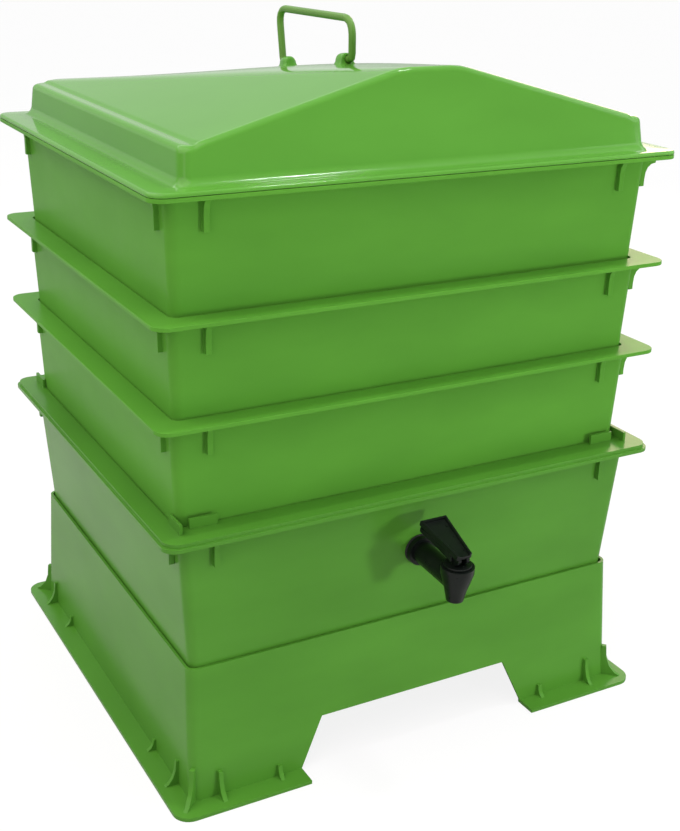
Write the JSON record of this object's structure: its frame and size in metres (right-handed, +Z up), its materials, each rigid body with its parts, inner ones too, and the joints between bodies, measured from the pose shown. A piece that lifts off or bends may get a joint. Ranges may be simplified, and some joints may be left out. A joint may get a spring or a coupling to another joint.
{
  "type": "wormery",
  "caption": "Stacking worm composter: nested perforated trays over a sump tray with a lever tap, on a flared stand, under a gabled lid with a swinging handle",
  "frame": {"origin": "On the floor, in the middle of the whole footprint, from the front of the tap lever to the back of the stand's foot, and between its two sides", "axes": "X to the right seen from the front, Y to the back (the tap faces -Y), Z up"},
  "size_m": [0.5, 0.512, 0.6492],
  "materials": {
    "green_plastic": "injection moulded green plastic with a soft gloss",
    "lid_plastic": "injection moulded green plastic, slightly brighter, glossy",
    "handle_plastic": "moulded green rod with a soft gloss",
    "black_plastic": "black moulded plastic, semi matte",
    "rubber": "black rubber"
  },
  "bodies": {
    "stand": {"stand": "green_plastic"},
    "sump": {"sump_tray": "green_plastic", "tap_body": "black_plastic", "tap_bonnet": "black_plastic", "tap_outer_washer": "rubber", "tap_inner_washer": "rubber", "tap_backnut": "black_plastic"},
    "rod": {"tap_rod": "black_plastic", "tap_seal": "rubber", "tap_lever_pin": "black_plastic"},
    "lever": {"tap_lever": "black_plastic"},
    "bottom": {"tray_bottom": "green_plastic"},
    "middle": {"tray_middle": "green_plastic"},
    "top": {"tray_top": "green_plastic"},
    "lid": {"lid": "lid_plastic"},
    "handle": {"lid_handle": "handle_plastic"}
  },
  "joints": [
    {"name": "sump_lift", "type": "slide", "parent": "stand", "child": "sump", "axis": [0, 0, 1], "range_m": [0, 0.16]},
    {"name": "bottom_tray_lift", "type": "slide", "parent": "sump", "child": "bottom", "axis": [0, 0, 1], "range_m": [0, 0.16]},
    {"name": "middle_tray_lift", "type": "slide", "parent": "bottom", "child": "middle", "axis": [0, 0, 1], "range_m": [0, 0.16]},
    {"name": "top_tray_lift", "type": "slide", "parent": "middle", "child": "top", "axis": [0, 0, 1], "range_m": [0, 0.16]},
    {"name": "lid_lift", "type": "slide", "parent": "top", "child": "lid", "axis": [0, 0, 1], "range_m": [0, 0.16]},
    {"name": "handle_swing", "type": "hinge", "parent": "lid", "child": "handle", "pos_m": [0, 0.03705, 0.60308], "axis": [0, 0.992, -0.126], "range_deg": [-85, 85]},
    {"name": "tap_rod_lift", "type": "slide", "parent": "sump", "child": "rod", "axis": [0, -0.0472, 0.9989], "range_m": [0, 0.00338]},
    {"name": "tap_lever_turn", "type": "hinge", "parent": "rod", "child": "lever", "pos_m": [0, -0.24145, 0.2166], "axis": [1, 0, 0], "range_deg": [0, 80]}
  ],
  "couplings": [
    {"joint": "tap_rod_lift", "follows": "tap_lever_turn", "m_per_rad": 0.0024192}
  ]
}
